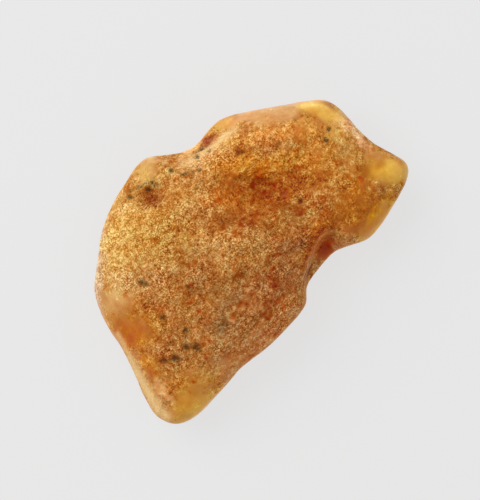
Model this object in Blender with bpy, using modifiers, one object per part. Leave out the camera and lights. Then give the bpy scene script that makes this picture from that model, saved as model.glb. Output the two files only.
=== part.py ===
"""A raw amber pebble: one wave-worn lump of cloudy fossil resin, lying on its broad worn foot.

Run it with blender --background --python part.py, or from Blender's text editor. It makes one
closed solid, amber_pebble, in metres, with +Z up. The pebble's length runs along X and its width
along Y. The origin is at the middle of its footprint, on the surface that it lies on.

A cube is divided and blown up to a ball, and each vertex of the ball is moved to the pebble: its
longitude picks a point of the outline, its latitude how far in from the rim it lies, and the
height there comes from broad worn facets, blended softly, with hollows, pits and ledges in them.
Chips shaped like a piece of an egg are then taken out of the sides, everything is worn unevenly,
and the skin is remade with few triangles where it is smooth and many where it turns. All sizes
below are in millimetres.
"""

import math

import bmesh
import bpy
from mathutils import Matrix, Vector, noise

MM = 0.001
NODE = "amber_pebble"

# The ball that the pebble is shaped from: squares along each side of the cube's six faces.
SQUARES = 88
# The skin: size of the squares that it is remade with, rounds of smoothing, and the share of its
# triangles that is kept.
SKIN_SQUARE = 0.28
SKIN_ROUNDS = 2
SKIN_KEPT = 0.1
# What lies within this height of the surface that it lies on is worn flat on it.
FOOT_WEAR = 0.07

# The rim seen from above, anticlockwise from the blunt end.
OUTLINE = [
    # blunt end, round its worn corner
    (21.4, -0.5),
    (21.45, 1.1),
    (20.7, 3.1),
    (18.8, 4.7),
    # long straight shoulder
    (16.0, 6.7),
    (13.4, 8.6),
    (11.2, 10.0),
    (9.3, 10.8),
    # saddle with the chipped ledge
    (7.3, 10.7),
    (5.2, 10.55),
    (3.2, 11.1),
    (1.4, 12.45),
    # knob and long round flank
    (-0.1, 13.7),
    (-1.7, 13.9),
    (-4.2, 13.5),
    (-6.9, 13.0),
    (-9.4, 12.0),
    (-12.0, 10.5),
    (-14.9, 8.2),
    (-16.9, 6.3),
    (-18.2, 3.9),
    (-19.1, 1.1),
    # shallow dip, then the side with the bevel
    (-19.5, -1.2),
    (-20.4, -3.6),
    (-21.5, -6.2),
    (-22.3, -8.7),
    (-22.5, -10.6),
    # toe
    (-21.8, -12.4),
    (-20.3, -13.4),
    (-18.2, -13.8),
    # long straight side
    (-14.5, -13.7),
    (-10.7, -13.5),
    (-6.5, -13.9),
    (-2.2, -13.9),
    (-0.4, -13.8),
    # notch
    (0.9, -13.45),
    (1.9, -12.5),
    (2.9, -11.9),
    (5.2, -11.5),
    (7.8, -11.45),
    (9.6, -12.0),
    # arm
    (11.4, -13.0),
    (13.2, -13.4),
    (16.2, -12.9),
    (19.6, -12.0),
    (21.7, -11.1),
    (22.5, -9.8),
    (22.1, -7.8),
    (21.4, -5.5),
    (21.2, -2.6),
]
OUTLINE_SAMPLES = 16

# The side all round: angle in degrees from +X, height of the widest level, and how full the form
# is above and below it. 2 is an ellipse, and more is squarer.
SIDES = [
    (0.0, 6.2, 2.7, 2.4),
    (30.0, 6.8, 2.4, 2.9),
    (62.0, 7.6, 2.5, 2.3),
    (90.0, 6.6, 2.4, 3.0),
    (125.0, 5.4, 2.4, 2.7),
    (160.0, 5.8, 2.7, 2.3),
    (185.0, 4.6, 3.4, 2.8),
    (204.0, 4.2, 3.6, 3.0),
    (218.0, 5.0, 2.8, 2.5),
    (245.0, 7.2, 3.1, 2.4),
    (270.0, 6.8, 3.3, 2.9),
    (292.0, 4.6, 3.4, 2.5),
    (316.0, 6.0, 3.0, 3.0),
    (338.0, 7.0, 2.7, 2.4),
]
# The same three at the middle of the upper side and of the underside.
MIDDLE = (6.0, 2.6, 2.6)

# Broad worn facets of the upper side: a point on each, and its slope along X and along Y.
CROWN_BLEND = 0.55
CROWN_FACETS = {
    "top": (-6.0, 1.0, 15.6, -0.07, 0.03),
    "lit_flank": (-8.0, 8.0, 14.0, 0.07, -0.40),
    "shaded_slope": (-5.0, -6.0, 14.7, -0.03, 0.22),
    "toe_slope": (-17.0, -9.0, 12.4, 0.26, 0.12),
    "heel_slope": (-17.0, 3.0, 13.2, 0.34, -0.24),
    "shoulder": (12.0, 7.5, 13.2, -0.10, -0.50),
    "arm_top": (15.0, -4.0, 13.6, -0.14, 0.08),
    "arm_side": (15.0, -10.0, 12.8, -0.08, 0.44),
    "blunt_end": (20.0, 0.0, 11.8, -0.55, -0.05),
}

# Broad worn facets of the underside, and the level foot that it lies on.
KEEL_BLEND = 0.6
KEEL_FACETS = {
    "foot": (0.0, 0.0, -0.7, 0.0, 0.0),
    "under_flank": (-8.0, 9.0, 1.0, -0.02, 0.30),
    "under_toe": (-16.0, -6.0, 0.8, -0.17, -0.06),
    "under_side": (-4.0, -10.5, 1.0, 0.0, -0.30),
    "under_arm": (15.0, -5.0, 1.1, 0.17, -0.07),
}

# Hollows and swellings of the upper side: middle x, y, half length, half width, turn in degrees
# of the length from +X, and rise.
CROWN_FORMS = {
    "great_hollow": (6.0, 0.8, 6.6, 3.3, -42.0, -3.2),
    "notch_hollow": (7.5, -10.0, 1.7, 0.9, 10.0, -1.2),
    "hollow_floor": (8.6, 0.2, 3.2, 1.9, -60.0, -1.0),
    "hollow_wall": (2.0, -3.2, 6.5, 1.4, -48.0, 0.8),
    "flank_pit": (-3.2, 10.0, 2.0, 1.4, 10.0, -2.6),
    "knob": (-0.9, 12.3, 1.8, 1.3, 0.0, 0.9),
    "heel_dip": (-17.3, 0.6, 2.4, 1.5, 80.0, -1.1),
    "heel_ridge": (-15.0, -3.4, 3.4, 1.1, 65.0, 0.5),
    "side_swell": (-2.0, -9.5, 4.5, 2.0, 0.0, 0.5),
    "slope_dip": (-9.5, -5.5, 4.0, 2.2, 15.0, -0.7),
    "slope_dent": (-2.5, -6.0, 1.7, 1.2, 60.0, -0.7),
    "flank_dent": (-12.0, 5.0, 2.2, 1.2, 40.0, -0.6),
    "top_dent": (-4.8, 4.3, 1.8, 1.1, -30.0, -0.6),
    "arm_dip": (14.0, 0.5, 2.6, 1.6, 20.0, -0.8),
    "arm_dent": (17.0, -6.5, 2.2, 1.4, -50.0, -0.7),
    "tip_dent": (16.5, 4.2, 1.6, 1.0, -38.0, -0.7),
}

# Ledges, where the upper side drops along a line of points: how far, over what width, and the
# distance past the line over which it comes up again. The lower side is on the right of the line.
NOTCH_LIP = [
    (1.0, -13.8),
    (2.2, -12.0),
    (2.9, -11.2),
    (4.1, -10.4),
    (6.0, -9.5),
    (7.3, -9.0),
    (8.8, -8.8),
    (11.0, -9.8),
]
SADDLE_LEDGE = [
    (11.4, 7.9),
    (10.0, 8.1),
    (8.7, 8.7),
    (6.9, 8.6),
    (5.4, 9.1),
    (4.1, 9.9),
    (2.6, 11.2),
]
LEDGES = [
    (NOTCH_LIP, 6.2, 1.1, 12.0),
    (SADDLE_LEDGE, 2.6, 0.8, 9.0),
]
# Share of a ledge's line, at each end, over which its drop fades in.
LEDGE_END = 0.24

# Chips broken out of the lump: middle x, y, z of the egg-shaped hollow, its half sizes along its
# own x, y and z, and its turn from above in degrees.
CHIPS = {
    "bevel": ((-43.2, 1.0, 15.2), (25.0, 25.0, 25.0), 0.0),
    "flank_chip": ((-13.0, 19.5, 13.0), (9.5, 9.5, 9.5), 0.0),
    "heel_chip": ((-24.5, 2.0, -3.0), (7.5, 9.0, 7.0), 20.0),
    "side_chip": ((-9.0, -21.5, 2.0), (12.0, 9.5, 7.5), 0.0),
    "side_top_chip": ((-13.5, -20.0, 14.5), (9.0, 8.0, 7.0), -10.0),
    "toe_chip": ((-19.0, -18.5, -2.5), (7.0, 7.0, 6.5), 0.0),
    "arm_chip": ((26.0, -9.0, -4.0), (10.0, 9.0, 9.0), 0.0),
    "arm_side_chip": ((15.5, -19.5, 11.5), (6.0, 7.0, 6.5), 0.0),
    "shoulder_chip": ((16.5, 16.0, -1.0), (11.0, 10.5, 8.0), -36.0),
    "under_knob_chip": ((-3.0, 19.0, -1.0), (7.0, 7.5, 6.0), 0.0),
    "tip_chip": ((26.5, 6.5, 14.0), (9.0, 9.0, 6.5), 0.0),
}
# They are cut towards the pebble's core: shares of a point's x and y, and a height.
CORE = (0.4, 0.2, 7.0)

# Uneven wear: wavelength, and how far it moves the surface either way. The rim moves by a share.
WEAR = [(9.0, 0.5), (4.2, 0.32), (2.1, 0.2)]
WEAR_SEED = Vector((3.7, 11.2, 5.9))
RIM_WEAR = 0.3

AMBER_COLOUR = (0.62, 0.31, 0.07, 1.0)
AMBER_ROUGHNESS = 0.55


def eased(share):
    """0 up to a share of 0, 1 from a share of 1, and a smooth rise between them."""
    share = max(0.0, min(1.0, share))
    return share * share * (3 - 2 * share)


def spline_point(points, index, share):
    """A point on the closed Catmull-Rom curve, a share of the way from points[index] to the next."""
    a, b, c, d = (Vector(points[(index + step) % len(points)]) for step in (-1, 0, 1, 2))
    return 0.5 * (
        2 * b
        + (c - a) * share
        + (2 * a - 5 * b + 4 * c - d) * share**2
        + (3 * b - a - 3 * c + d) * share**3
    )


def rim_curve():
    """The outline as (angle, radius) about the origin, in order of angle."""
    curve = []
    for index in range(len(OUTLINE)):
        for step in range(OUTLINE_SAMPLES):
            point = spline_point(OUTLINE, index, step / OUTLINE_SAMPLES)
            curve.append((math.atan2(point.y, point.x), point.length))
    curve.sort()
    first, last = curve[0], curve[-1]
    return [(last[0] - math.tau, last[1]), *curve, (first[0] + math.tau, first[1])]


def rim_radius(curve, angle):
    """The outline's radius at an angle, between the two samples on either side of it."""
    low, high = 0, len(curve) - 1
    while high - low > 1:
        middle = (low + high) // 2
        if curve[middle][0] <= angle:
            low = middle
        else:
            high = middle
    (a, r), (b, q) = curve[low], curve[high]
    return r + (q - r) * (angle - a) / max(b - a, 1e-9)


def side_at(angle, latitude):
    """Height of the widest level and the fullness above and below it, from the side at the rim to
    the same values all round at the middle of the upper side and of the underside."""
    degrees = math.degrees(angle) % 360.0
    sides = [*SIDES, (360.0, *SIDES[0][1:])]
    index = max(i for i, side in enumerate(sides[:-1]) if side[0] <= degrees)
    (a, *one), (b, *two) = sides[index], sides[index + 1]
    share = eased((degrees - a) / (b - a))
    weight = math.cos(latitude) ** 2
    return [m + (p + (q - p) * share - m) * weight for m, p, q in zip(MIDDLE, one, two)]


def facet_height(facet, x, y):
    """Height of a facet's plane over a point."""
    px, py, pz, slope_x, slope_y = facet
    return pz + (x - px) * slope_x + (y - py) * slope_y


def blended(heights, blend):
    """The lowest of several heights, rounded off over the blend where two are close.
    A negative blend gives the highest."""
    best = min(heights) if blend > 0 else max(heights)
    return best - blend * math.log(sum(math.exp((best - h) / blend) for h in heights))


def swelling(form, x, y):
    """Rise of a hollow or swelling over a point."""
    px, py, long, wide, turn, rise = form
    c, s = math.cos(math.radians(turn)), math.sin(math.radians(turn))
    along = ((x - px) * c + (y - py) * s) / long
    across = ((y - py) * c - (x - px) * s) / wide
    return rise * math.exp(-(along**2 + across**2))


def ledge_drop(ledge, x, y):
    """How far a ledge lowers the upper side at a point."""
    line, drop, width, reach = ledge
    nearest = None
    point = Vector((x, y))
    for index in range(len(line) - 1):
        start, end = Vector(line[index]), Vector(line[index + 1])
        step = end - start
        share = max(0.0, min(1.0, (point - start).dot(step) / step.length_squared))
        away = point - (start + step * share)
        past = math.copysign(away.length, away.x * step.y - away.y * step.x)
        if nearest is None or abs(past) < abs(nearest[0]):
            nearest = (past, (index + share) / (len(line) - 1))
    past, along = nearest
    ends = eased(min(along, 1 - along) / LEDGE_END)
    return drop * ends * eased(past / width + 0.5) * math.exp(-((max(past, 0.0) / reach) ** 2))


def worn(point, normal):
    """The point after uneven wear, which moves it in or out along the surface's normal."""
    wear = sum(size * noise.noise(point / wave + WEAR_SEED) for wave, size in WEAR)
    point = point + normal * wear * (RIM_WEAR + (1 - RIM_WEAR) * abs(normal.z))
    point.z = max(point.z, 0.0)
    return point


def crown_height(x, y):
    """Height of the upper side over a point, before it is rounded down to the rim."""
    height = blended([facet_height(facet, x, y) for facet in CROWN_FACETS.values()], CROWN_BLEND)
    height += sum(swelling(form, x, y) for form in CROWN_FORMS.values())
    return height - sum(ledge_drop(ledge, x, y) for ledge in LEDGES)


def keel_height(x, y):
    """Height of the underside over a point, before it is rounded up to the rim."""
    return blended([facet_height(facet, x, y) for facet in KEEL_FACETS.values()], -KEEL_BLEND)


def chipped(point, chips):
    """The point, or where the line from it to the pebble's middle leaves the chips it lies in."""
    core = Vector((point.x * CORE[0], point.y * CORE[1], CORE[2]))
    for to_egg in chips:
        start, end = to_egg @ point, to_egg @ core
        if start.length_squared >= 1:
            continue
        step = end - start
        along = start.dot(step)
        reach = step.length_squared
        share = (math.sqrt(along**2 + reach * (1 - start.length_squared)) - along) / reach
        point = point + (core - point) * min(share, 1.0)
    return point


def chip_frames():
    """For each chip, the matrix that turns its egg into a ball of radius 1 at the origin."""
    frames = []
    for middle, sizes, turn in CHIPS.values():
        place = Matrix.Translation(middle) @ Matrix.Rotation(math.radians(turn), 4, "Z")
        frames.append((place @ Matrix.Diagonal((*sizes, 1.0))).inverted())
    return frames


def pebble_point(direction, curve, chips):
    """Where a direction from the ball's middle meets the pebble."""
    latitude = math.asin(max(-1.0, min(1.0, direction.z)))
    angle = math.atan2(direction.y, direction.x)
    rim, crown_fullness, keel_fullness = side_at(angle, latitude)
    fullness = crown_fullness if latitude >= 0 else keel_fullness
    reach = math.cos(latitude) ** (2 / fullness) * rim_radius(curve, angle)
    lift = math.sin(abs(latitude)) ** (2 / fullness)
    x, y = reach * math.cos(angle), reach * math.sin(angle)
    height = crown_height(x, y) if latitude >= 0 else keel_height(x, y)
    return chipped(Vector((x, y, rim + (height - rim) * lift)), chips)


def ball():
    """A cube divided into squares and blown up to a ball of radius 1."""
    shape = bmesh.new()
    bmesh.ops.create_cube(shape, size=2.0)
    bmesh.ops.subdivide_edges(shape, edges=shape.edges[:], cuts=SQUARES - 1, use_grid_fill=True)
    for vertex in shape.verts:
        # The tangent keeps the squares near the cube's edges as wide as those in its middle.
        vertex.co = Vector([math.tan(math.pi / 4 * c) for c in vertex.co]).normalized()
    return shape


def amber():
    """Cloudy honey-coloured amber under a dull crust."""
    material = bpy.data.materials.new("amber")
    material.use_nodes = True
    shader = material.node_tree.nodes["Principled BSDF"]
    shader.inputs["Base Color"].default_value = AMBER_COLOUR
    shader.inputs["Roughness"].default_value = AMBER_ROUGHNESS
    shader.inputs["Metallic"].default_value = 0.0
    return material


def rough_lump():
    """The pebble in small squares, with every form and chip in it."""
    curve, chips = rim_curve(), chip_frames()
    shape = ball()
    for vertex in shape.verts:
        vertex.co = pebble_point(vertex.co, curve, chips)
    bmesh.ops.recalc_face_normals(shape, faces=shape.faces)
    shape.normal_update()
    for vertex in shape.verts:
        vertex.co = worn(vertex.co, vertex.normal) * MM
    mesh = bpy.data.meshes.new("rough_lump")
    shape.to_mesh(mesh)
    shape.free()
    return bpy.data.objects.new("rough_lump", mesh)


def reskinned(lump):
    """The lump's mesh, remade with few triangles where it is smooth and many where it turns."""
    remesh = lump.modifiers.new("skin", "REMESH")
    remesh.mode = "VOXEL"
    remesh.voxel_size = SKIN_SQUARE * MM
    smooth = lump.modifiers.new("worn skin", "SMOOTH")
    smooth.iterations = SKIN_ROUNDS
    fewer = lump.modifiers.new("fewer triangles", "DECIMATE")
    fewer.ratio = SKIN_KEPT
    fewer.use_collapse_triangulate = True
    graph = bpy.context.evaluated_depsgraph_get()
    return bpy.data.meshes.new_from_object(lump.evaluated_get(graph))


def amber_pebble(parts):
    """The whole pebble in the collection: one closed solid with a level foot, in the middle of its
    own footprint."""
    lump = rough_lump()
    parts.objects.link(lump)
    mesh = reskinned(lump)
    bpy.data.objects.remove(lump)
    places = [vertex.co.copy() for vertex in mesh.vertices]
    low, high = (Vector([pick(place[i] for place in places) for i in (0, 1)]) for pick in (min, max))
    for vertex in mesh.vertices:
        vertex.co.xy -= (low + high) / 2
        if vertex.co.z < FOOT_WEAR * MM:
            vertex.co.z = 0.0
    mesh.shade_smooth()
    mesh.materials.clear()
    mesh.materials.append(amber())
    parts.objects.link(bpy.data.objects.new(NODE, mesh))


def main():
    for old in list(bpy.data.objects):
        bpy.data.objects.remove(old)
    parts = bpy.data.collections.new("raw_amber_pebble")
    bpy.context.scene.collection.children.link(parts)
    amber_pebble(parts)


main()
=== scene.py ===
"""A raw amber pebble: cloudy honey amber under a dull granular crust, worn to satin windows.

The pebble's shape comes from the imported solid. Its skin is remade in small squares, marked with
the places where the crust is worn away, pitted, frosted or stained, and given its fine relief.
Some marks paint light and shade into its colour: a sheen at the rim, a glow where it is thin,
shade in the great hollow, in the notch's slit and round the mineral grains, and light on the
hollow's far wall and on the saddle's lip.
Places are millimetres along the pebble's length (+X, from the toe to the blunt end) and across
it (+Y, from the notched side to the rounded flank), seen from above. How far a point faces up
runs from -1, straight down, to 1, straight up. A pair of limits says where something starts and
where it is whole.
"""

from __future__ import annotations

import logging
import math
from collections.abc import Sequence
from dataclasses import dataclass, field
from enum import Enum

import bmesh
import bpy
import numpy as np
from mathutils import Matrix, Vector, noise
from mathutils.bvhtree import BVHTree


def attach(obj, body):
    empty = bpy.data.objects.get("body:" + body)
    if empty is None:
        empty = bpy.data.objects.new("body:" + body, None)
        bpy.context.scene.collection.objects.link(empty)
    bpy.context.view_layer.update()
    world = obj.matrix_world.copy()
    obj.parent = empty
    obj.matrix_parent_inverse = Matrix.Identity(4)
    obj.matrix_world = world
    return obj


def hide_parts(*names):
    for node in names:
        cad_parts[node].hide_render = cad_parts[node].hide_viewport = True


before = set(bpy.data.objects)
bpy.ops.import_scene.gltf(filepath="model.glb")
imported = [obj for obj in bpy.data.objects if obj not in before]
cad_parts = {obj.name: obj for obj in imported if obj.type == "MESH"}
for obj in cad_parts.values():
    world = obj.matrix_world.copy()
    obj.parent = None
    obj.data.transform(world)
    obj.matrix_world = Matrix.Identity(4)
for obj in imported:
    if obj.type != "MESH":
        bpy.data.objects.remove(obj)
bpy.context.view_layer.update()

MM = 0.001
BODY = "root"
NODE = "amber_pebble"

# Clouds that say where the crust is worn to windows: size of each, in millimetres, and its weight.
WEAR = ((5.5, 1.0), (1.6, 0.35))
# How drawn edges wander: size of the clouds that lead them astray and how far, in millimetres.
WANDER = ((3.1, 0.9), (1.1, 0.45))
# Where the clouds are read for the three directions, so that these differ.
STARTS = (Vector((-29.3, 31.5, 18.2)), Vector((43.7, -14.4, -27.1)), Vector((-36.3, -25.1, 22.7)))
# How far up a point faces where a mark drawn from above starts, and where it is whole.
SHOWN = (-0.45, -0.05)

# Middle of the values that a noise texture gives.
MIDDLE = 0.5

log = logging.getLogger("amber")

Socket = bpy.types.NodeSocket
Value = Socket | float | int | bool | Sequence[float]
Colour = tuple[float, float, float]
Limits = tuple[float, float]
Spot = tuple[float, float, float]


def srgb(red: int, green: int, blue: int) -> Colour:
    """Turns a display colour into a linear one.

    Args:
        red: Red, 0 to 255.
        green: Green, 0 to 255.
        blue: Blue, 0 to 255.

    Returns:
        The linear colour.
    """
    shares = (channel / 255 for channel in (red, green, blue))
    return tuple(c / 12.92 if c <= 0.04045 else ((c + 0.055) / 1.055) ** 2.4 for c in shares)


def eased(values: np.ndarray, low: float, high: float) -> np.ndarray:
    """Rises smoothly from 0 at low to 1 at high.

    Args:
        values: What is graded.
        low: Where the rise starts.
        high: Where it ends.

    Returns:
        A share from 0 to 1 for each value.
    """
    share = np.clip((values - low) / (high - low), 0, 1)
    return share * share * (3 - 2 * share)


class Mark(Enum):
    """What a place on the skin is marked with. Each value is a point attribute's name."""

    LIGHT = "light"
    RED = "red"
    GOLD = "gold"
    CRUST = "crust"
    FROST = "frost"
    STAIN = "stain"
    RUBBED = "rubbed"
    THIN = "thin"
    SHARP = "sharp"
    SWELL = "swell"


@dataclass(frozen=True, kw_only=True)
class Tint:
    """What a kind of place or pattern adds to the amber.

    Attributes:
        light: Lightness that it adds.
        red: Redness that it adds.
        gold: Golden saturation that it adds.
        crust: Crust that it adds, or takes away to leave a worn window.
    """

    light: float = 0.0
    red: float = 0.0
    gold: float = 0.0
    crust: float = 0.0

    def adds(self, mark: Mark) -> float:
        """Reads what it adds to one mark, as the marks have the same names."""
        return getattr(self, mark.value)

    def lay(self, marks: dict[Mark, np.ndarray], share: np.ndarray) -> None:
        """Adds the tint to the marks of the skin.

        Args:
            marks: The amount of each mark at each point, which this changes.
            share: How strongly each point takes the tint.
        """
        for mark in (Mark.LIGHT, Mark.RED, Mark.GOLD, Mark.CRUST):
            marks[mark] = marks[mark] + self.adds(mark) * share


@dataclass(frozen=True)
class Patch(Tint):
    """A soft oval patch on the upper side of the lump, with the tint that it adds there.

    Attributes:
        name: What the patch is.
        x: Middle, along the lump, in millimetres.
        y: Middle, across the lump, in millimetres.
        long: Half length, in millimetres.
        wide: Half width, in millimetres.
        turn: Turn of its length from +X, in degrees.
        hard: How suddenly it ends: 1 is a soft bell, 4 a firm edge.
    """

    name: str
    x: float
    y: float
    long: float
    wide: float
    turn: float = 0.0
    hard: float = 1.5

    def over(self, places: np.ndarray, facing: np.ndarray) -> np.ndarray:
        """Finds how strongly the patch marks each point.

        Args:
            places: Points of the skin, in millimetres.
            facing: How far each point faces up.

        Returns:
            A share from 0 to 1 for each point.
        """
        c, s = math.cos(math.radians(self.turn)), math.sin(math.radians(self.turn))
        x, y = places[:, 0] - self.x, places[:, 1] - self.y
        apart = ((x * c + y * s) / self.long) ** 2 + ((y * c - x * s) / self.wide) ** 2
        return np.exp(-(apart**self.hard)) * eased(facing, *SHOWN)


@dataclass(frozen=True)
class Streak:
    """A narrow mark along a line of points on the upper side.

    Attributes:
        line: Points of the line, in millimetres.
        wide: Half width, in millimetres.
        depth: How strongly it marks.
    """

    line: tuple[tuple[float, float], ...]
    wide: float
    depth: float = 1.0

    def over(self, places: np.ndarray, facing: np.ndarray) -> np.ndarray:
        """Finds how strongly the streak marks each point.

        Args:
            places: Points of the skin, in millimetres.
            facing: How far each point faces up.

        Returns:
            A share from 0 to 1 for each point.
        """
        apart = np.full(len(places), np.inf)
        for start, end in zip(self.line, self.line[1:]):
            a, b = np.array(start), np.array(end)
            share = np.clip((places[:, :2] - a) @ (b - a) / ((b - a) @ (b - a)), 0, 1)
            away = np.linalg.norm(places[:, :2] - a - share[:, None] * (b - a), axis=1)
            apart = np.minimum(apart, away)
        return self.depth * np.exp(-((apart / self.wide) ** 2)) * eased(facing, *SHOWN)


# What whole kinds of places add to the amber.
RIDGE_BELOW = Tint(light=0.1, red=-0.04)
BARE_RIDGE = Tint(crust=-1.0)
# Painted sheen at the rim: a whitening where the surface turns away from view, with thinner crust there.
RIM_SHEEN = Tint(light=0.115, red=-0.02, gold=-0.045, crust=-0.25)
WORN = Tint(light=0.07, red=-0.01, gold=0.08, crust=-1.0)
# Painted shade in the amber round each mineral grain.
GRAIN_SHADE = Tint(light=-0.05)

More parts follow.
